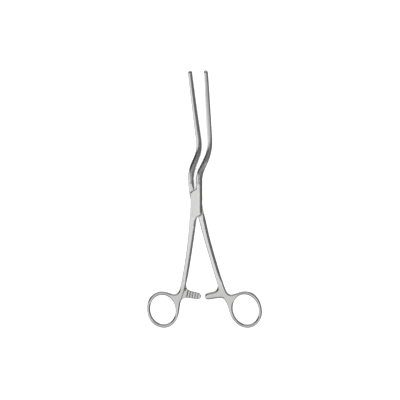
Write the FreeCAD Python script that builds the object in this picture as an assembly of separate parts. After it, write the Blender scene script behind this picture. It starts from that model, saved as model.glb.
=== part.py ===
import FreeCAD, Part
import math
import os

# Intestinal clamp: ring-handled forceps with a box lock and long jaws bent in
# an S.  The clamp lies flat.  Millimetres, +Z up, jaw tips towards +Y.  The
# origin is on the pivot axis, at the underside of the box lock.
#
#   female half : left finger ring, left shank, slotted box, right jaw
#   male half   : right finger ring, right shank, thin tongue, left jaw
#   lock pin    : riveted pivot through the box and the tongue

V = FreeCAD.Vector

# ---------------------------------------------------------------- dimensions
BOX_T = 6.0                 # thickness of the box lock, ground flat on both faces
FORGED_T = 6.08             # before grinding
MID_Z = BOX_T / 2           # middle plane shared by both halves
TONGUE_T = 2.0              # thickness of the male tongue
SLOT_T = 2.1                # height of the slot in the female box
HANDLE_T = 4.4              # thickness of rings and lower shanks
JAW_TIP_T = 3.4             # jaw thickness (across) at the tip
JAW_MID_T = 3.5             # in the straight part
EDGE_R = 1.15               # edge rounding of rings and lower shanks
M_BAR_R = 1.65              # edge rounding of the upper ratchet bar
F_BAR_R = 0.6               # edge rounding of the toothed side of the lower one
GRIP_FLAT = 0.45            # how far the gripping flat cuts the round jaw
CLOSE_ANGLE = 5.15          # turn that brings the jaws together
JAW_GAP = 0.04              # half gap left between the closed jaws

PIN_R = 1.6
PIN_RECESS = 0.05
BORE_CLEAR = 0.03
TONGUE_DISC_R = 4.6

TOOTH_PITCH = 1.3           # cross serration of the jaws
TOOTH_DEPTH = 0.38
CHANNEL_W = 1.1             # channel along the female jaw, rib on the male
CHANNEL_DEPTH = 0.45
RIB_W = 0.9
RIB_H = 0.28
SERRATION_Y0 = 31.0         # serration runs from the S bend
SERRATION_Y1 = 112.0        # to just short of the tip

RATCHET_PITCH = 2.35
RATCHET_DEPTH = 0.8
RATCHET_GAP = 0.07          # each toothed face stands this far off the middle

Z_LO = MID_Z - HANDLE_T / 2
Z_HI = MID_Z + HANDLE_T / 2

# gripping edge of the female jaw (x, y), clamp open as drawn
GRIP = [(-0.50, 13.5), (-0.47, 16.5), (-0.45, 19.0), (-0.38, 21.5), (-0.08, 24.0),
        (0.62, 27.0), (1.80, 30.0), (3.20, 33.0), (4.66, 36.0), (6.10, 39.0),
        (7.38, 42.0), (8.30, 45.0), (8.86, 48.0), (9.13, 51.0), (9.17, 54.0),
        (9.00, 58.0), (8.66, 64.0), (8.20, 72.0), (7.77, 80.0), (7.38, 88.0),
        (7.03, 96.0), (6.70, 104.0), (6.38, 111.0), (6.14, 116.0), (5.9, 121.0)]

# back edge of the female jaw
F_BACK = [(4.86, 10.0), (4.88, 13.5), (4.90, 16.5), (4.92, 19.0), (5.05, 21.5), (5.40, 24.0),
          (6.20, 27.0), (7.42, 30.0), (8.84, 33.0), (10.15, 36.0), (11.28, 39.0),
          (12.18, 42.0), (12.86, 45.0), (13.32, 48.0), (13.56, 51.0), (13.62, 54.0),
          (13.50, 58.0), (13.14, 64.0), (12.62, 72.0), (12.12, 80.0), (11.62, 88.0),
          (11.12, 96.0), (10.60, 104.0), (10.12, 111.0), (9.78, 116.0), (9.4, 121.0)]

# back edge of the male jaw
M_BACK = [(-6.75, 11.0), (-6.98, 13.5), (-7.16, 16.5), (-7.28, 19.0), (-7.42, 21.5), (-7.42, 24.0),
          (-7.05, 27.0), (-6.38, 30.0), (-5.40, 33.0), (-4.15, 36.0), (-2.80, 39.0),
          (-1.62, 42.0), (-0.74, 45.0), (-0.28, 48.0), (-0.16, 51.0), (-0.34, 54.0),
          (-0.86, 58.0), (-1.70, 64.0), (-2.68, 72.0), (-3.64, 80.0), (-4.60, 88.0),
          (-5.56, 96.0), (-6.50, 104.0), (-7.34, 111.0), (-7.94, 116.0), (-8.5, 121.0)]

# box and shank stations of the female half: left point, right point, thickness
F_BOX = [((-0.50, 20.5), (4.98, 20.5), 5.86),
         ((-0.50, 18.0), (4.92, 18.0), 5.95),
         ((-0.50, 16.0), (4.90, 15.8), 6.02),
         ((-0.52, 14.4), (4.88, 13.8), FORGED_T),
         ((-0.62, 13.0), (4.87, 12.0), FORGED_T),
         ((-1.25, 11.75), (4.86, 10.4), FORGED_T),
         ((-2.70, 10.82), (4.86, 9.0), FORGED_T),
         ((-4.15, 10.05), (4.88, 7.8), FORGED_T),
         ((-5.02, 9.05), (4.92, 6.6), FORGED_T),
         ((-5.20, 7.4), (4.95, 5.2), FORGED_T),
         ((-5.20, 5.2), (4.97, 3.6), FORGED_T),
         ((-5.20, 2.8), (4.97, 1.8), FORGED_T),
         ((-5.20, 0.3), (4.97, 0.0), FORGED_T),
         ((-5.22, -2.0), (4.97, -2.0), FORGED_T),
         ((-5.28, -4.2), (4.95, -4.4), FORGED_T),
         ((-5.38, -6.2), (4.88, -6.6), FORGED_T),
         ((-5.50, -8.0), (4.70, -8.5), FORGED_T),
         ((-5.62, -9.5), (3.95, -10.0), FORGED_T),
         ((-5.74, -10.8), (2.65, -11.05), FORGED_T),
         ((-5.84, -12.0), (1.15, -11.80), FORGED_T),
         ((-5.96, -13.2), (0.30, -12.70), 5.94),
         ((-6.07, -14.7), (-0.08, -14.2), 5.82),
         ((-6.18, -16.4), (-0.36, -16.3), 5.66),
         ((-6.30, -18.2), (-0.66, -18.5), 5.48),
         ((-6.45, -20.3), (-0.98, -20.9), 5.32)]

F_SHANK = [((-6.45, -20.3), (-0.98, -20.9), 5.32),
           ((-7.50, -31.3), (-2.52, -32.0), 4.96),
           ((-8.92, -42.8), (-4.26, -43.5), 4.70),
           ((-10.58, -54.0), (-6.04, -54.8), 4.52),
           ((-12.00, -62.3), (-7.54, -63.1), 4.41),
           ((-13.58, -70.9), (-9.38, -71.5), 4.36)]

# middle and shank stations of the male half
M_MID = [((-7.36, 20.6), (-2.48, 20.2), 5.86),
         ((-7.22, 17.6), (-2.28, 17.2), 5.97),
         ((-7.05, 14.6), (-2.08, 14.2), FORGED_T),
         ((-6.78, 11.6), (-1.70, 11.4), FORGED_T),
         ((-6.36, 8.8), (-0.08, 8.9), FORGED_T),
         ((-5.84, 6.0), (1.10, 6.4), FORGED_T),
         ((-5.26, 3.2), (2.45, 3.9), FORGED_T),
         ((-4.55, 0.6), (3.75, 1.4), FORGED_T),
         ((-3.75, -1.4), (4.75, -0.6), FORGED_T),
         ((-2.45, -3.9), (5.28, -3.2), FORGED_T),
         ((-1.15, -6.4), (5.82, -6.0), FORGED_T),
         ((0.05, -9.0), (6.40, -8.8), FORGED_T),
         ((1.42, -11.8), (7.00, -11.2), FORGED_T),
         ((2.16, -14.8), (7.64, -13.9), 5.86),
         ((2.84, -17.8), (8.28, -16.7), 5.60),
         ((3.64, -20.9), (8.92, -19.6), 5.32)]

M_SHANK = [((3.64, -20.9), (8.92, -19.6), 5.32),
           ((6.74, -32.4), (11.60, -31.0), 4.96),
           ((10.08, -43.6), (14.66, -42.2), 4.70),
           ((13.16, -54.2), (17.78, -52.8), 4.52),
           ((15.72, -62.8), (20.30, -61.3), 4.41),
           ((18.57, -72.0), (23.44, -70.5), 4.36)]

# finger rings: centre, half axes of the opening and of the outside, tilt of the long axis
F_RING_C = (-29.40, -92.95)
F_RING_IN = (12.90, 11.12, -78.0)
M_RING_C = (42.88, -92.85)
M_RING_IN = (13.42, 11.20, -69.5)

# outer outline of the lower handles, from the left side of the shank round the ring
# to the right side of the shank
F_PLATE = [(-13.17, -68.6), (-13.62, -70.9), (-14.06, -72.8), (-14.60, -74.8), (-15.30, -76.6),
           (-16.30, -78.2), (-17.60, -79.25), (-19.20, -79.62), (-21.00, -79.45), (-23.10, -78.85),
           (-25.50, -78.02), (-28.00, -77.42), (-30.50, -77.20), (-33.00, -77.52), (-35.60, -78.42),
           (-38.00, -79.92), (-40.10, -82.05), (-41.80, -84.85), (-42.90, -88.0), (-43.25, -91.4),
           (-42.92, -95.0), (-42.00, -98.8), (-40.40, -102.2), (-37.90, -105.1), (-34.80, -107.2),
           (-31.40, -108.45), (-28.00, -108.78), (-24.60, -108.05), (-21.60, -106.40),
           (-19.00, -103.9), (-17.10, -100.7), (-15.85, -97.2), (-15.12, -93.6), (-14.66, -90.0),
           (-14.12, -86.8), (-13.10, -83.6), (-11.90, -80.4), (-10.80, -77.0), (-9.96, -74.0),
           (-9.34, -71.5), (-8.86, -69.3)]
F_BAR = [(-10.10, -69.6), (-9.50, -70.9), (-9.18, -72.4), (-8.74, -74.0), (-7.75, -75.35),
         (-6.15, -76.30), (-4.25, -76.95), (-2.00, -77.45), (0.20, -77.95), (1.95, -78.55),
         (3.20, -79.55), (3.82, -80.95), (3.70, -82.35), (2.80, -83.40), (1.30, -83.88),
         (-0.60, -83.80), (-3.20, -83.42), (-6.00, -82.98), (-8.40, -82.68), (-10.30, -82.75),
         (-11.90, -83.40), (-13.15, -84.75), (-14.15, -86.7), (-15.10, -88.3)]
BAR_RELIEF = [(-9.93, -73.9), (-8.95, -73.95), (-9.62, -76.7), (-10.74, -76.9)]
F_BAR_IN = [(-16.4, -88.9), (-15.2, -84.2), (-13.9, -79.2), (-12.4, -73.6), (-11.4, -69.9)]

M_PLATE = [(17.88, -69.9), (18.72, -72.6), (19.80, -75.4), (21.05, -78.4), (22.60, -81.4),
           (24.30, -84.2), (25.90, -87.0), (27.25, -90.0), (28.20, -93.2), (29.20, -96.5),
           (30.75, -100.0), (33.10, -103.2), (36.10, -106.0), (39.60, -107.9), (43.40, -108.8),
           (47.20, -108.5), (50.70, -107.0), (53.66, -104.4), (55.72, -101.0), (56.76, -97.2),
           (56.88, -93.4), (56.22, -89.4), (54.86, -85.6), (52.74, -82.2), (50.00, -79.5),
           (46.80, -77.8), (43.40, -77.1), (40.00, -77.32), (36.80, -78.18), (33.90, -79.05),
           (31.60, -79.75), (29.60, -79.95), (27.80, -79.25), (26.50, -77.9), (25.50, -76.1),
           (24.62, -74.0), (23.44, -70.5), (22.74, -68.4)]
M_BAR = [(19.30, -70.7), (18.62, -71.6), (18.36, -72.7), (18.06, -74.2), (17.35, -75.6),
         (16.10, -76.65), (14.40, -77.3), (12.40, -77.78), (10.60, -78.15), (9.10, -78.55),
         (7.95, -79.30), (7.30, -80.5), (7.20, -81.9), (7.75, -83.1), (8.85, -83.95),
         (10.30, -84.18), (12.40, -83.92), (15.00, -83.5), (17.60, -83.12), (20.20, -82.88),
         (22.30, -83.0), (24.00, -83.75), (25.35, -85.1), (26.50, -86.8), (27.60, -88.2)]
M_BAR_IN = [(28.6, -88.6), (26.6, -84.6), (24.4, -80.6), (22.6, -76.4), (20.9, -71.6)]

# slot in the female box (lower left corner piece to upper right corner piece)
SLOT_SIDE = [(-2.86, -4.35), (-2.48, -5.0), (-1.98, -6.3), (-1.00, -9.1), (-0.12, -11.9), (0.30, -14.2)]
OPEN_STOP = 40.0            # opening at which the tongue meets the corner pieces
TONGUE_TILT = 10.9          # tongue against the box, clamp open as drawn
SLOT_R = 4.75

# steps of the male half from full thickness down to the tongue
M_STEP_TOP = [(-9.0, 7.05), (-5.41, 9.66), (-2.60, 11.80), (-2.0, 12.9), (1.2, 18.0)]
M_STEP_LOW = [(-0.6, -14.2), (1.75, -12.65), (4.4, -10.66), (6.75, -9.15), (10.0, -7.1)]


# ------------------------------------------------------------------- helpers
def v2(p, z=0.0):
    return V(p[0], p[1], z)


def turn(p, deg):
    c, s = math.cos(math.radians(deg)), math.sin(math.radians(deg))
    return (c * p[0] - s * p[1], s * p[0] + c * p[1])


def smooth(points, z=0.0):
    c = Part.BSplineCurve()
    c.interpolate([v2(p, z) for p in points])
    return c


def sampled(points, n=1200):
    c = smooth(points)
    a, b = c.FirstParameter, c.LastParameter
    return [c.value(a + (b - a) * i / n) for i in range(n + 1)]


def meet(poly, p, d):
    """Point of a polyline nearest to p on the line through p along d."""
    nrm = V(-d.y, d.x, 0)
    best = None
    for a, b in zip(poly, poly[1:]):
        fa, fb = (a - p).dot(nrm), (b - p).dot(nrm)
        if fa * fb <= 0 and fa != fb:
            q = a + (b - a) * (fa / (fa - fb))
            if best is None or (q - p).Length < (best - p).Length:
                best = q
    return best


def section(left, right, t, rounds, zc=MID_Z):
    """Rounded rectangle standing on the plan line left-right.

    rounds is how far its (left, right) corners reach in plan; in height they reach
    as far, or to just short of the middle where the section is thin.
    """
    a, b = v2(left), v2(right)
    u = b - a
    w = u.Length
    u.normalize()
    q, r = rounds
    fit = min(1.0, 0.94 * w / (q + r))
    q, r = q * fit, r * fit
    qz, rz = min(q, 0.47 * t), min(r, 0.47 * t)
    z0, z1 = zc - t / 2, zc + t / 2

    def p(s, z):
        return V(a.x + u.x * s, a.y + u.y * s, z)

    def corner(p0, p1, p2, wide, high):
        c = Part.BezierCurve()
        c.setPoles([p0, p1, p2])
        c.setWeight(2, math.sqrt(0.5) * (wide / high) ** 0.8)
        return c
    e = [Part.LineSegment(p(q, z0), p(w - r, z0)),
         corner(p(w - r, z0), p(w, z0), p(w, z0 + rz), r, rz),
         Part.LineSegment(p(w, z0 + rz), p(w, z1 - rz)),
         corner(p(w, z1 - rz), p(w, z1), p(w - r, z1), r, rz),
         Part.LineSegment(p(w - r, z1), p(q, z1)),
         corner(p(q, z1), p(0, z1), p(0, z1 - qz), q, qz),
         Part.LineSegment(p(0, z1 - qz), p(0, z0 + qz)),
         corner(p(0, z0 + qz), p(0, z0), p(q, z0), q, qz)]
    return Part.Wire([x.toShape() for x in e])


def loft(stations, ruled=False):
    return Part.makeLoft([section(*s) for s in stations], True, ruled)


def pchip(xs, ys, x):
    """Monotone cubic through a table: smooth, without overshoot."""
    n = len(xs)
    h = [xs[i + 1] - xs[i] for i in range(n - 1)]
    d = [(ys[i + 1] - ys[i]) / h[i] for i in range(n - 1)]
    m = [d[0]] + [0.0] * (n - 2) + [d[-1]]
    for i in range(1, n - 1):
        if d[i - 1] * d[i] > 0:
            w1, w2 = 2 * h[i] + h[i - 1], h[i] + 2 * h[i - 1]
            m[i] = (w1 + w2) / (w1 / d[i - 1] + w2 / d[i])
    i = max(0, min(n - 2, sum(1 for v in xs[1:-1] if v <= x)))
    t = (x - xs[i]) / h[i]
    return ((1 + 2 * t) * (1 - t) ** 2 * ys[i] + t * (1 - t) ** 2 * h[i] * m[i]
            + t * t * (3 - 2 * t) * ys[i + 1] + t * t * (t - 1) * h[i] * m[i + 1])


def table(rows, y):
    return pchip([a for a, b in rows], [b for a, b in rows], min(max(y, rows[0][0]), rows[-1][0]))


def even(stations, step, left_r, right_r):
    """The same body described by evenly spaced stations, with its edge roundings."""
    run = [0.0]
    for a, b in zip(stations, stations[1:]):
        run.append(run[-1] + 0.5 * (math.dist(a[0], b[0]) + math.dist(a[1], b[1])))
    cols = [[s[0][0] for s in stations], [s[0][1] for s in stations],
            [s[1][0] for s in stations], [s[1][1] for s in stations],
            [s[2] for s in stations]]
    n = max(2, round(run[-1] / step))
    out = []
    for i in range(n + 1):
        c = [pchip(run, col, run[-1] * i / n) for col in cols]
        out.append(((c[0], c[1]), (c[2], c[3]), c[4], (table(left_r, c[1]), table(right_r, c[3]))))
    return out


def prism(points, z0, z1, curved=False):
    if curved:
        e = [smooth(points, z0).toShape(),
             Part.LineSegment(v2(points[-1], z0), v2(points[0], z0)).toShape()]
    else:
        e = [Part.makePolygon([v2(p, z0) for p in points] + [v2(points[0], z0)])]
    return Part.Face(Part.Wire(e)).extrude(V(0, 0, z1 - z0))


def lerp(table, y):
    for (y0, a), (y1, b) in zip(table, table[1:]):
        if y0 <= y <= y1:
            f = (y - y0) / (y1 - y0)
            f = f * f * (3 - 2 * f)
            return a + (b - a) * f
    return table[0][1] if y < table[0][0] else table[-1][1]


# --------------------------------------------------------------------- jaws
THICK_Y = [16.0, 20.5, 26.0, 32.0, 38.0, 44.0, 49.0, 53.0, 57.0, 62.0, 90.0, 113.5]
THICK_T = [6.0, 5.88, 5.58, 5.12, 4.62, 4.13, 3.76, 3.58, 3.51, JAW_MID_T, 3.46, JAW_TIP_T]
# edge roundings (y, radius) of each half, on its left and right side
F_LEFT_R = [(-71.5, 1.15), (-66.0, 1.5), (-58.0, 1.85), (-21.0, 1.9), (-14.0, 1.5), (-9.0, 1.25),
            (7.0, 1.3), (9.3, 1.3), (13.5, 1.3), (17.0, 1.45), (20.5, 1.8), (26.0, 1.8),
            (30.0, 2.2), (34.0, 2.9), (38.0, 3.2), (45.0, 3.2), (51.0, 2.7), (58.0, 2.2),
            (113.5, 1.8)]
F_RIGHT_R = [(-71.5, 1.15), (-66.0, 1.5), (-58.0, 1.85), (-22.0, 1.9), (-18.5, 2.2), (-15.0, 2.3),
             (-12.9, 1.9), (-11.2, 1.5), (-9.4, 1.8), (-7.5, 2.4), (-4.5, 2.7), (7.0, 2.7),
             (20.5, 2.45), (36.0, 2.2), (50.0, 1.8), (62.0, 1.3), (113.5, 1.2)]
M_LEFT_R = [(-71.5, 1.15), (-66.0, 1.5), (-58.0, 1.85), (-21.0, 1.9), (-14.0, 1.4), (13.0, 1.4),
            (20.5, 1.75), (36.0, 1.9), (60.0, 1.6), (113.5, 1.4)]
M_RIGHT_R = [(-71.5, 1.15), (-66.0, 1.6), (-58.0, 2.1), (-14.0, 2.15), (-9.0, 1.7), (12.0, 1.7),
             (15.0, 2.1), (20.5, 2.2), (34.0, 2.4), (46.0, 2.85), (60.0, 2.95), (83.0, 2.75),
             (97.0, 2.55), (113.5, 2.2)]


def jaw_stations(grip, back, side, first, left_r, right_r):
    """Stations from the box outwards; side is -1 where the back is left of the grip."""
    g, b = sampled(grip), sampled(back)
    ys = [23.5, 26.5, 29.5, 32.5, 35.5, 38.5, 41.5, 44.5, 47.5, 50.5, 54.0, 59.0, 65.0,
          72.0, 80.0, 88.0, 96.0, 104.0, 109.0, 113.2]
    out = [first]
    for y in ys:
        i = min(range(len(g)), key=lambda k: abs(g[k].y - y))
        t = g[i + 1] - g[i - 1]
        t.normalize()
        n = V(t.y, -t.x, 0) * (1 if side > 0 else -1)      # from grip to back
        q = meet(b, g[i], n)
        a = g[i] - n * GRIP_FLAT * lerp([(23.0, 0.35), (30.0, 1.0)], y)
        l, r = ((a.x, a.y), (q.x, q.y)) if side > 0 else ((q.x, q.y), (a.x, a.y))
        out.append((l, r, pchip(THICK_Y, THICK_T, y),
                    (table(left_r, y), table(right_r, y))))
    return out


def tip(station, length, blunt=0.0):
    """Rounded end on the last station of a jaw; a blunt one keeps that share of its thickness."""
    l, r, t, rad = station
    u = V(r[0] - l[0], r[1] - l[1], 0)
    w = u.Length
    u.normalize()
    n = V(-u.y, u.x, 0)
    if n.y < 0:
        n = n * -1
    c = V((l[0] + r[0]) / 2, (l[1] + r[1]) / 2, 0)
    st = []
    for a in (0, 14, 28, 41, 53, 63, 72, 79):
        k = math.cos(math.radians(a))
        d = c + n * (length * math.sin(math.radians(a)))
        p, q = d - u * (w / 2 * k), d + u * (w / 2 * k)
        st.append(((p.x, p.y), (q.x, q.y), t * (blunt + (1 - blunt) * k), (rad[0] * k, rad[1] * k)))
    return loft(st)


def serrated(grip, side, y0, y1, phase, depth):
    """Saw-toothed line that follows a gripping edge; teeth bite towards the jaw's back."""
    g = sampled(grip, 4000)
    out, run, nxt, up = [], 0.0, 0.0, phase
    for a, b in zip(g, g[1:]):
        if a.y < y0 or a.y > y1:
            if not out or (b - V(out[-1][0], out[-1][1], 0)).Length > 1.5:
                out.append((a.x, a.y))
            continue
        run += (b - a).Length
        if run >= nxt:
            t = b - a
            t.normalize()
            n = V(t.y, -t.x, 0) * side
            p = a + n * (0.0 if up else depth)
            out.append((p.x, p.y))
            up = not up
            nxt += TOOTH_PITCH / 2
    return out


# ------------------------------------------------------------------- handles
def rounded(solid, radii):
    """Round the curved outline edges that lie in horizontal planes; radii is {height: radius}."""
    for radius in sorted(set(radii.values()), reverse=True):
        pick = []
        for ed in solid.Edges:
            bb = ed.BoundBox
            for z in radii:
                if (radii[z] == radius and abs(bb.ZMin - z) < 1e-4 and abs(bb.ZMax - z) < 1e-4
                        and ed.Curve.TypeId != "Part::GeomLine"):
                    pick.append(ed)
        solid = solid.makeFillet(radius, pick)
    return solid


def plate(points, ring_c, ring_axes):
    """Lower handle: ring and shank end as one plate with rounded edges."""
    a, b, tilt = ring_axes
    e = Part.Ellipse(V(0, 0, 0), a, b).toShape()
    e.rotate(V(0, 0, 0), V(0, 0, 1), tilt)
    e.translate(V(ring_c[0], ring_c[1], Z_LO))
    outer = Part.Wire([smooth(points, Z_LO).toShape(),
                       Part.LineSegment(v2(points[-1], Z_LO), v2(points[0], Z_LO)).toShape()])
    f = Part.Face([outer, Part.Wire([e])])
    f.validate()
    return rounded(f.extrude(V(0, 0, HANDLE_T)), {Z_LO: EDGE_R, Z_HI: EDGE_R})


def bar(points, inside, z0, z1, radii):
    """Ratchet bar on one half of the thickness, rooted inside the handle."""
    e = [smooth(points, z0).toShape()]
    line = [points[-1]] + inside + [points[0]]
    for p, q in zip(line, line[1:]):
        e.append(Part.LineSegment(v2(p, z0), v2(q, z0)).toShape())
    return rounded(Part.Face(Part.Wire(e)).extrude(V(0, 0, z1 - z0)), radii)


def ground(solid):
    """Both faces of the box lock ground flat to its thickness."""
    for z0, z1 in ((-4, 0), (BOX_T, BOX_T + 4)):
        solid = solid.cut(Part.makeBox(60, 70, z1 - z0, V(-30, -30, z0)))
    return solid


def ratchet_teeth(origin, direction, count, z_tip, up):
    """Triangular grooves across a ratchet bar, from the root outwards."""
    d = V(direction[0], direction[1], 0)
    d.normalize()
    n = V(-d.y, d.x, 0)
    sgn = 1 if up else -1
    cut = None
    for i in range(count):
        c = v2(origin) + d * (RATCHET_PITCH * i)
        a = c - d * 0.18
        b = c + d * 1.45
        lo = c + d * 0.10
        pts = [V(a.x, a.y, z_tip + sgn * 0.6), V(lo.x, lo.y, z_tip - sgn * RATCHET_DEPTH),
               V(lo.x + d.x * 0.35, lo.y + d.y * 0.35, z_tip - sgn * RATCHET_DEPTH),
               V(b.x, b.y, z_tip), V(b.x + d.x * 0.9, b.y + d.y * 0.9, z_tip + sgn * 0.6)]
        w = Part.makePolygon(pts + [pts[0]])
        s = Part.Face(w).extrude(n * 14)
        s.translate(n * -7)
        cut = s if cut is None else cut.fuse(s)
    return cut


def offset_line(points, d, n=120):
    """Line beside a gripping edge, moved towards the back of the female jaw."""
    g = sampled(points, n)
    out = []
    for i, p in enumerate(g):
        t = g[min(i + 1, n)] - g[max(i - 1, 0)]
        t.normalize()
        out.append((p.x + t.y * d, p.y - t.x * d))
    return out


def shifted(p, d, deg):
    """Point moved across the closed jaws' general direction, positive to the right."""
    return (p[0] + d * math.cos(math.radians(deg)), p[1] + d * math.sin(math.radians(deg)))


def arc_points(r, a0, a1, n=8):
    return [(r * math.cos(math.radians(a0 + (a1 - a0) * i / n)),
             r * math.sin(math.radians(a0 + (a1 - a0) * i / n))) for i in range(n + 1)]


def check(name, s):
    print(name, "valid" if s.isValid() else "NOT VALID", len(s.Solids), "solid(s)",
          "volume %.1f" % s.Volume, "faces", len(s.Faces))
    return s


# --------------------------------------------------------------- female half
f_box = even(F_BOX, 1.3, F_LEFT_R, F_RIGHT_R)
f_stations = jaw_stations(GRIP, F_BACK, +1, f_box[0], F_LEFT_R, F_RIGHT_R)
f_face = MID_Z - RATCHET_GAP
female = plate(F_PLATE, F_RING_C, F_RING_IN)
for piece in (bar(F_BAR, F_BAR_IN, Z_LO, f_face, {Z_LO: EDGE_R, f_face: F_BAR_R}), loft(even(F_SHANK, 5.0, F_LEFT_R, F_RIGHT_R)),
              loft(f_box), loft(f_stations), tip(f_stations[-1], 2.55)):
    female = female.fuse(piece)
female = ground(female)
check("female raw", female)

# gripping face: flat with cross serration, and a channel down its middle
fade = [(-1.9, 16.8), (-0.72, 19.6), (-0.40, 22.3)]
f_line = serrated(GRIP[4:], +1, SERRATION_Y0, SERRATION_Y1, True, TOOTH_DEPTH)
f_line = fade + [p for p in f_line if p[1] > 23.5]
female = female.cut(prism(f_line + [(-30, 121), (-30, 16.8)], -2, 9))
channel = offset_line(GRIP[5:], CHANNEL_DEPTH)
female = female.cut(prism(channel + [(-30, 121), (-30, channel[0][1])],
                          MID_Z - CHANNEL_W / 2, MID_Z + CHANNEL_W / 2))
check("female jaws cut", female)

# slot for the tongue
a_stop = 180 + TONGUE_TILT + OPEN_STOP
foot = (SLOT_R * math.cos(math.radians(a_stop)), SLOT_R * math.sin(math.radians(a_stop)))
far = (foot[0] - 8.0 * math.sin(math.radians(TONGUE_TILT + OPEN_STOP)),
       foot[1] + 8.0 * math.cos(math.radians(TONGUE_TILT + OPEN_STOP)))
low = [far] + arc_points(SLOT_R, a_stop, 233.5) + SLOT_SIDE + [(13.0, SLOT_SIDE[-1][1])]
high = [(-x, -y) for x, y in low[:-2]] + [(-0.62, 13.3), (-13.0, 13.3)]
female = female.cut(prism(low + high, MID_Z - SLOT_T / 2, MID_Z + SLOT_T / 2))
female = female.cut(Part.makeCylinder(PIN_R, 20, V(0, 0, -5)))
check("female box cut", female)

# toothed ratchet bar on the lower half of the thickness, with a relief cut at its root
bar_dir = (0.985, -0.172)
female = female.cut(ratchet_teeth((-8.95, -79.4), bar_dir, 5, f_face, True))
female = female.cut(prism(BAR_RELIEF, f_face - 0.8, f_face + 0.6))
check("female", female)

# ----------------------------------------------------------------- male half
M_GRIP = [turn(p, CLOSE_ANGLE) for p in GRIP]
m_mid = even(M_MID, 1.6, M_LEFT_R, M_RIGHT_R)
m_stations = jaw_stations(M_GRIP, M_BACK, -1, m_mid[0], M_LEFT_R, M_RIGHT_R)
m_face = MID_Z + RATCHET_GAP
male = plate(M_PLATE, M_RING_C, M_RING_IN)
for piece in (bar(M_BAR, M_BAR_IN, m_face, Z_HI, {Z_HI: M_BAR_R}), loft(even(M_SHANK, 5.0, M_LEFT_R, M_RIGHT_R)),
              loft(m_mid), loft(m_stations), tip(m_stations[-1], 2.35, 0.5)):
    male = male.fuse(piece)
male = ground(male)
check("male raw", male)

# gripping face: toothed flanks and a toothed rib that lies in the channel
m_fade = [(0.2, 16.8), (-2.52, 19.9), (-2.58, 22.2)]
flank = [turn(p, CLOSE_ANGLE) for p in
         serrated(GRIP[4:], -1, SERRATION_Y0, SERRATION_Y1, False, TOOTH_DEPTH)]
flank = [shifted(p, -JAW_GAP, CLOSE_ANGLE) for p in flank]
flank = m_fade + [p for p in flank if p[1] > 23.5]
rib = [shifted(turn(p, CLOSE_ANGLE), RIB_H, CLOSE_ANGLE) for p in
       serrated(GRIP[6:], -1, SERRATION_Y0, SERRATION_Y1, False, TOOTH_DEPTH)]
rib = [p for p in flank if p[1] < 28.0] + [p for p in rib if p[1] > 29.5]
for line, z0, z1 in ((flank, -2, MID_Z - RIB_W / 2), (flank, MID_Z + RIB_W / 2, 9),
                     (rib, MID_Z - RIB_W / 2, MID_Z + RIB_W / 2)):
    male = male.cut(prism(line + [(30, 121), (30, 16.8)], z0, z1))
check("male jaws cut", male)

# tongue: both faces milled away between the two steps, with a disc round the pivot
window = M_STEP_TOP + list(reversed(M_STEP_LOW))
male = male.cut(prism(window, MID_Z + TONGUE_T / 2, 12))
male = male.cut(prism(window, -6, MID_Z - TONGUE_T / 2))
male = male.fuse(Part.makeCylinder(TONGUE_DISC_R, TONGUE_T, V(0, 0, MID_Z - TONGUE_T / 2)))
male = male.cut(Part.makeCylinder(PIN_R + BORE_CLEAR, 20, V(0, 0, -5)))
check("male box cut", male)

male = male.cut(ratchet_teeth((15.4, -80.3), (-0.985, -0.172), 4, m_face, False))
check("male", male)

# ------------------------------------------------------------------ lock pin
pin = Part.makeCylinder(PIN_R, BOX_T - 2 * PIN_RECESS, V(0, 0, PIN_RECESS))
check("pin", pin)

os.makedirs("parts", exist_ok=True)
for name, shape in (("female_half", female), ("male_half", male), ("lock_pin", pin)):
    if len(shape.Solids) == 1:
        shape = shape.Solids[0]
    shape.exportStep("parts/%s.step" % name)
bb = female.fuse(male).BoundBox
print("size %.1f x %.1f x %.1f" % (bb.XLength, bb.YLength, bb.ZLength),
      "x %.2f..%.2f y %.2f..%.2f z %.2f..%.2f" % (bb.XMin, bb.XMax, bb.YMin, bb.YMax, bb.ZMin, bb.ZMax))
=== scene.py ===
import math

import bpy
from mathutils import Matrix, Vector

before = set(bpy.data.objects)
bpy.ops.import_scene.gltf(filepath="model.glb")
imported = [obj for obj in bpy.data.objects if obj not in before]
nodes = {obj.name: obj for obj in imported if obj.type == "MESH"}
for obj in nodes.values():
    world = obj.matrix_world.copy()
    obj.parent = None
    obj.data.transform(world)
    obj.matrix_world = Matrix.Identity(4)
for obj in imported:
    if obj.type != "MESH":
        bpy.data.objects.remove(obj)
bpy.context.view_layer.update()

scene = bpy.context.scene


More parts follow.
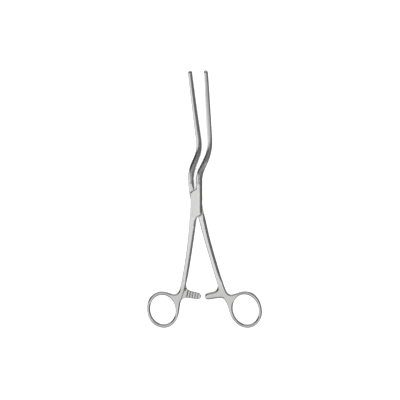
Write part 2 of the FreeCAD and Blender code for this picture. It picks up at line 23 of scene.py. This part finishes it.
# ---------------------------------------------------------------- node helpers
class Graph:
    """Small helper that adds nodes to a material and wires them."""

    def __init__(self, name):
        self.mat = bpy.data.materials.new(name)
        self.mat.use_nodes = True
        self.tree = self.mat.node_tree
        self.tree.nodes.clear()

    def add(self, kind, **values):
        n = self.tree.nodes.new(kind)
        for key, value in values.items():
            if key.startswith("in_"):
                name = key[3:].replace("_", " ")
                for socket in n.inputs:
                    if socket.name.lower() == name.lower() and socket.enabled:
                        socket.default_value = value
                        break
            else:
                setattr(n, key, value)
        return n

    def wire(self, a, b):
        self.tree.links.new(a, b)

    def math(self, op, a, b, clamp=False):
        n = self.tree.nodes.new("ShaderNodeMath")
        n.operation = op
        n.use_clamp = clamp
        for i, v in enumerate((a, b)):
            if isinstance(v, (int, float)):
                n.inputs[i].default_value = v
            elif v is not None:
                self.wire(v, n.inputs[i])
        return n.outputs[0]

    def ramp(self, value, stops):
        n = self.tree.nodes.new("ShaderNodeValToRGB")
        r = n.color_ramp
        while len(r.elements) < len(stops):
            r.elements.new(0.5)
        for e, (pos, col) in zip(r.elements, stops):
            e.position = pos
            e.color = (*col, 1) if len(col) == 3 else col
        self.wire(value, n.inputs[0])
        return n.outputs[0]

    def between(self, value, lo, hi, a, b):
        """Value mapped smoothly from lo..hi to a..b."""
        n = self.tree.nodes.new("ShaderNodeMapRange")
        n.interpolation_type = "SMOOTHSTEP"
        self.wire(value, n.inputs["Value"])
        for key, v in (("From Min", lo), ("From Max", hi), ("To Min", a), ("To Max", b)):
            n.inputs[key].default_value = v
        return n.outputs[0]

    def blend(self, a, b, share):
        """a where share is 0, b where it is 1."""
        rest = self.math("SUBTRACT", 1.0, share)
        return self.math("ADD", self.math("MULTIPLY", a, rest), self.math("MULTIPLY", b, share))

    def noise(self, pos, stretch, scale, detail, rough, turn=0.0):
        m = self.tree.nodes.new("ShaderNodeMapping")
        if turn:
            r = self.tree.nodes.new("ShaderNodeMapping")
            r.inputs["Rotation"].default_value = (0.0, 0.0, turn)
            self.wire(pos, r.inputs["Vector"])
            pos = r.outputs[0]
        m.inputs["Scale"].default_value = stretch
        self.wire(pos, m.inputs["Vector"])
        n = self.tree.nodes.new("ShaderNodeTexNoise")
        n.inputs["Scale"].default_value = scale
        n.inputs["Detail"].default_value = detail
        n.inputs["Roughness"].default_value = rough
        self.wire(m.outputs[0], n.inputs["Vector"])
        return n.outputs[0]


def steel(name):
    """Satin stainless steel: lengthwise grinding marks, soft cloudiness, fine scratches,
    brighter ground faces on the box lock, painted shade darkening the recesses in the lock and teeth, and a darker
    tone painted toward the ratchet and rings."""
    g = Graph(name)
    out = g.add("ShaderNodeOutputMaterial")
    bsdf = g.add("ShaderNodeBsdfPrincipled")
    bsdf.inputs["Metallic"].default_value = 1.0
    g.wire(bsdf.outputs[0], out.inputs[0])
    pos = g.add("ShaderNodeTexCoord").outputs["Object"]
    xyz = g.add("ShaderNodeSeparateXYZ")
    g.wire(pos, xyz.inputs[0])
    px, py, pz = xyz.outputs
    nrm = g.add("ShaderNodeSeparateXYZ")
    g.wire(g.add("ShaderNodeNewGeometry").outputs["Normal"], nrm.inputs[0])
    nz = g.math("ABSOLUTE", nrm.outputs[2], None)

    # textures
    cloud = g.noise(pos, (1.0, 0.45, 1.0), 95.0, 3.0, 0.55)
    blotch = g.noise(pos, (1.0, 1.0, 1.0), 420.0, 4.0, 0.62)
    grain = g.noise(pos, (5200.0, 420.0, 5200.0), 1.0, 2.0, 0.5)
    streak = g.noise(pos, (2300.0, 60.0, 2300.0), 1.0, 3.0, 0.55)
    fine = g.noise(pos, (1.0, 1.0, 1.0), 1800.0, 4.0, 0.6)
    cross = g.noise(pos, (500.0, 6500.0, 500.0), 1.0, 2.0, 0.5)
    scuffs = [g.noise(pos, (3600.0, 110.0, 1200.0), 1.0, 1.0, 0.4, turn) for turn in (0.45, -0.7, 1.9)]
    scratch = g.math("MAXIMUM", g.math("MAXIMUM", scuffs[0], scuffs[1]), scuffs[2])
    scratch = g.between(scratch, 0.73, 0.79, 0.0, 1.0)

    # masks: ground faces of the box lock, and painted shade inside the lock and in the depth of the ratchet grooves
    off = g.math("ABSOLUTE", g.math("SUBTRACT", pz, 0.003), None)
    near = g.between(g.math("ABSOLUTE", g.math("SUBTRACT", py, 0.0005), None), 0.0135, 0.0165, 1.0, 0.0)
    ground = g.math("MULTIPLY", near, g.between(off, 0.00285, 0.00298, 0.0, 1.0))
    radius = g.math("SQRT", g.math("ADD", g.math("MULTIPLY", px, px), g.math("MULTIPLY", py, py)), None)
    lock_painted_shade = g.math("MULTIPLY", g.between(off, 0.00100, 0.00112, 1.0, 0.0),
                    g.between(radius, 0.0165, 0.0185, 1.0, 0.0))
    lock_painted_shade = g.math("MULTIPLY", lock_painted_shade, g.between(nz, 0.55, 0.75, 0.0, 1.0))
    groove_painted_shade = g.math("MULTIPLY", g.between(off, 0.00009, 0.0006, 0.0, 1.0), g.between(off, 0.0009, 0.00105, 1.0, 0.0))
    groove_painted_shade = g.math("MULTIPLY", groove_painted_shade, g.between(py, -0.070, -0.068, 1.0, 0.0))
    groove_painted_shade = g.math("MULTIPLY", groove_painted_shade, g.between(nz, 0.25, 0.5, 0.0, 1.0))
    # painted shade: a near-black patch in the relief cut at the root of the toothed bar
    relief_painted_shade = g.math("MULTIPLY", g.between(px, -0.01095, -0.01085, 0.0, 1.0), g.between(px, -0.0089, -0.0087, 1.0, 0.0))
    relief_painted_shade = g.math("MULTIPLY", relief_painted_shade, g.between(py, -0.0771, -0.0769, 0.0, 1.0))
    relief_painted_shade = g.math("MULTIPLY", relief_painted_shade, g.between(py, -0.0739, -0.0737, 1.0, 0.0))
    relief_painted_shade = g.math("MULTIPLY", relief_painted_shade, g.between(off, 0.00045, 0.00080, 0.0, 1.0))
    relief_painted_shade = g.math("MULTIPLY", relief_painted_shade, g.between(off, 0.00095, 0.00105, 1.0, 0.0))

    # colour
    tone = g.math("ADD", g.between(cloud, 0.30, 0.70, 0.645, 0.695), g.math("MULTIPLY", blotch, 0.03))
    tone = g.math("ADD", tone, g.math("MULTIPLY", streak, -0.02))
    tone = g.math("SUBTRACT", tone, g.math("MULTIPLY", scratch, 0.05))
    # painted shade: the ratchet and ring end is toned darker
    tone = g.math("MULTIPLY", tone, g.between(py, -0.080, -0.066, 0.85, 1.0))
    face = g.math("ADD", g.between(py, -0.014, 0.004, 0.71, 0.77), g.between(px, -0.0052, 0.004, -0.03, 0.04))
    tone = g.blend(tone, face, g.math("MULTIPLY", ground, 0.8))
    # painted shade: the tongue and slot faces inside the lock are toned darker
    tone = g.blend(tone, 0.50, lock_painted_shade)
    # painted shade: the floors of the ratchet grooves are toned darker
    tone = g.blend(tone, 0.62, g.math("MULTIPLY", groove_painted_shade, 0.5))
    # painted shade: the relief cut is toned nearly black
    tone = g.blend(tone, 0.10, relief_painted_shade)
    tint = g.ramp(tone, [(0.0, (0.0, 0.0, 0.0)), (1.0, (1.0, 0.998, 0.992))])
    g.wire(tint, bsdf.inputs["Base Color"])

    # gloss
    rough = g.math("ADD", g.math("MULTIPLY", fine, 0.035), 0.115)
    rough = g.math("ADD", rough, g.math("MULTIPLY", grain, 0.04))
    rough = g.math("ADD", rough, g.between(cloud, 0.35, 0.75, 0.0, 0.035))
    rough = g.math("ADD", rough, g.math("MULTIPLY", lock_painted_shade, 0.10))
    g.wire(rough, bsdf.inputs["Roughness"])

    # relief: lengthwise marks, crosswise ones on the ground faces
    marks = g.blend(grain, cross, ground)
    height = g.math("ADD", g.math("MULTIPLY", marks, 0.55), g.math("MULTIPLY", fine, 0.35))
    height = g.math("SUBTRACT", height, g.math("MULTIPLY", scratch, 0.25))
    bump = g.add("ShaderNodeBump", in_Strength=0.10, in_Distance=0.00003)
    g.wire(height, bump.inputs["Height"])
    g.wire(bump.outputs[0], bsdf.inputs["Normal"])
    return g.mat


def plain(name, colour, rough):
    g = Graph(name)
    out = g.add("ShaderNodeOutputMaterial")
    bsdf = g.add("ShaderNodeBsdfPrincipled")
    bsdf.inputs["Base Color"].default_value = (*colour, 1)
    bsdf.inputs["Roughness"].default_value = rough
    bsdf.inputs["Specular IOR Level"].default_value = 0.2
    g.wire(bsdf.outputs[0], out.inputs[0])
    return g.mat


# ---------------------------------------------------------------- the clamp
body_steel = steel("satin_steel")
for name, obj in nodes.items():
    obj.data.materials.clear()
    obj.data.materials.append(body_steel)

# ---------------------------------------------------------------- floor
bpy.ops.mesh.primitive_plane_add(size=6.0, location=(0, 0, -0.0002))
floor = bpy.context.object
floor.name = "floor"
floor_mat = plain("floor", (0.55, 0.55, 0.55), 0.9)
floor_bsdf = [n for n in floor_mat.node_tree.nodes if n.type == "BSDF_PRINCIPLED"][0]
floor_bsdf.inputs["Emission Color"].default_value = (1, 1, 1, 1)
floor_bsdf.inputs["Emission Strength"].default_value = 0.62
floor.data.materials.append(floor_mat)

# ---------------------------------------------------------------- camera
cam_data = bpy.data.cameras.new("camera")
cam = bpy.data.objects.new("camera", cam_data)
scene.collection.objects.link(cam)
cam_data.type = "PERSP"
cam_data.sensor_width = 36.0
cam_data.lens = 200.0
HALF = 0.3488 / 2
cam.location = (0.002965, 0.002616, 0.003 + HALF * 200.0 / 18.0)
cam.rotation_euler = (0, 0, 0)
cam_data.clip_start = 0.01
cam_data.clip_end = 50
scene.camera = cam


# ---------------------------------------------------------------- light
def area(name, loc, target, size, power, colour=(1, 1, 1), size_y=None):
    d = bpy.data.lights.new(name, "AREA")
    d.energy = power
    d.color = colour
    d.shape = "RECTANGLE" if size_y else "SQUARE"
    d.size = size
    if size_y:
        d.size_y = size_y
    o = bpy.data.objects.new(name, d)
    scene.collection.objects.link(o)
    o.location = loc
    o.rotation_mode = "QUATERNION"
    o.rotation_quaternion = (Vector(target) - Vector(loc)).to_track_quat("-Z", "Y")
    return o


# studio surroundings: a bright ceiling and left side that fall off to a darker right and rear side
world = bpy.data.worlds.new("world")
scene.world = world
world.use_nodes = True
wt = world.node_tree
wt.nodes.clear()


def wnode(kind):
    return wt.nodes.new(kind)


def wmath(op, a, b=None, clamp=False):
    n = wnode("ShaderNodeMath")
    n.operation = op
    n.use_clamp = clamp
    for i, v in enumerate((a, b)):
        if isinstance(v, (int, float)):
            n.inputs[i].default_value = v
        elif v is not None:
            wt.links.new(v, n.inputs[i])
    return n.outputs[0]


def wstep(value, lo, hi, a, b):
    n = wnode("ShaderNodeMapRange")
    n.interpolation_type = "SMOOTHSTEP"
    wt.links.new(value, n.inputs["Value"])
    for key, v in (("From Min", lo), ("From Max", hi), ("To Min", a), ("To Max", b)):
        n.inputs[key].default_value = v
    return n.outputs[0]


direction = wnode("ShaderNodeTexCoord").outputs["Generated"]
split = wnode("ShaderNodeSeparateXYZ")
wt.links.new(direction, split.inputs[0])
dx, dy, dz = split.outputs


def wcurve(value, lo, hi, stops):
    """Piecewise-smooth brightness over a range of a value."""
    n = wnode("ShaderNodeMapRange")
    wt.links.new(value, n.inputs["Value"])
    n.inputs["From Min"].default_value = lo
    n.inputs["From Max"].default_value = hi
    r = wnode("ShaderNodeValToRGB")
    r.color_ramp.interpolation = "EASE"
    while len(r.color_ramp.elements) < len(stops):
        r.color_ramp.elements.new(0.5)
    for e, (at, v) in zip(r.color_ramp.elements, stops):
        e.position = (at - lo) / (hi - lo)
        e.color = (v / 2, v / 2, v / 2, 1)
    wt.links.new(n.outputs[0], r.inputs[0])
    return wmath("MULTIPLY", r.outputs[0], 2.0)


# across: small values face the large soft light, larger ones the unlit sides of the studio
def slant(a, b):
    return wmath("ADD", wmath("MULTIPLY", dx, a), wmath("MULTIPLY", dy, b))


across = wmath("MAXIMUM", slant(0.45, 0.89), slant(0.22, 0.975))
flat = wmath("SQRT", wmath("ADD", wmath("ADD", wmath("MULTIPLY", dx, dx), wmath("MULTIPLY", dy, dy)), 0.0001))
side = wmath("DIVIDE", dx, flat)
corner = wcurve(side, -1.0, 1.0, [(-1.0, 0.0), (-0.975, 0.0), (-0.93, 0.8), (-0.85, 1.0), (-0.80, 0.9), (-0.65, 0.0), (1.0, 0.0)])
corner = wmath("MULTIPLY", wmath("MULTIPLY", corner, flat), wstep(dy, 0.0, 0.03, 0.0, 1.0))
across = wmath("MAXIMUM", across, corner)
lit = wcurve(across, -1.0, 1.0, [(-1.0, 0.80), (-0.55, 0.84), (-0.30, 0.72), (-0.12, 0.90),
                                (0.02, 1.10), (0.085, 0.0), (1.0, 0.0)])
unlit = wcurve(across, -1.0, 1.0, [(-1.0, 0.0), (0.02, 0.0), (0.085, 1.0), (1.0, 1.0)])
front = wstep(dy, -0.75, -0.25, 0.35, 1.0)
lit = wmath("MULTIPLY", lit, front)
rear = wcurve(side, -1.0, 1.0, [(-1.0, 0.03), (-0.86, 0.03), (-0.70, 0.19), (-0.10, 0.18),
                                                    (0.15, 0.08), (0.5, 0.08), (1.0, 0.16)])
# low soft lights: a wide one behind, and a narrow strip on the right
wide = wmath("MULTIPLY", wcurve(side, -1.0, 1.0, [(-1.0, 0.0), (-0.80, 0.0), (-0.55, 1.0), (0.20, 1.0), (0.50, 0.0), (1.0, 0.0)]),
             wstep(dz, 0.85, 0.965, 0.52, 0.0))
strip = wcurve(dz, -1.0, 1.0, [(-1.0, 0.0), (0.24, 0.0), (0.35, 0.52), (0.48, 0.52), (0.58, 0.0), (1.0, 0.0)])
strip = wmath("MULTIPLY", strip, wcurve(side, -1.0, 1.0, [(-1.0, 0.15), (-0.86, 0.15), (-0.66, 1.0), (0.60, 1.0),
                                                          (0.90, 0.62), (1.0, 0.62)]))
rear = wmath("MAXIMUM", rear, wmath("MAXIMUM", wide, strip))
upper = wmath("ADD", lit, wmath("MULTIPLY", unlit, rear))
lower = wcurve(dx, -1.0, 1.0, [(-1.0, 0.64), (-0.6, 0.48), (0.0, 0.22), (0.5, 0.10), (1.0, 0.08)])
near = wstep(dy, -0.60, -0.12, 1.0, 0.0)
lower = wmath("ADD", wmath("MULTIPLY", lower, wmath("SUBTRACT", 1.0, near)), wmath("MULTIPLY", near, 0.45))
behind = wstep(dy, 0.12, 0.35, 0.0, 1.0)
lower = wmath("ADD", wmath("MULTIPLY", lower, wmath("SUBTRACT", 1.0, behind)), wmath("MULTIPLY", rear, behind))
height = wstep(dz, -0.12, 0.25, 0.0, 1.0)
glow = wmath("ADD", wmath("MULTIPLY", upper, height),
             wmath("MULTIPLY", lower, wmath("SUBTRACT", 1.0, height)))
background = wnode("ShaderNodeBackground")
background.inputs[0].default_value = (1, 1, 1, 1)
wt.links.new(glow, background.inputs[1])
world_out = wnode("ShaderNodeOutputWorld")
wt.links.new(background.outputs[0], world_out.inputs[0])

# large soft ceiling light for the floor only
ceiling = area("ceiling", (0, 0, 2.4), (0, 0, 0), 4.0, 130)
ceiling.visible_glossy = False
floor.visible_glossy = False

scene.view_settings.view_transform = "Standard"
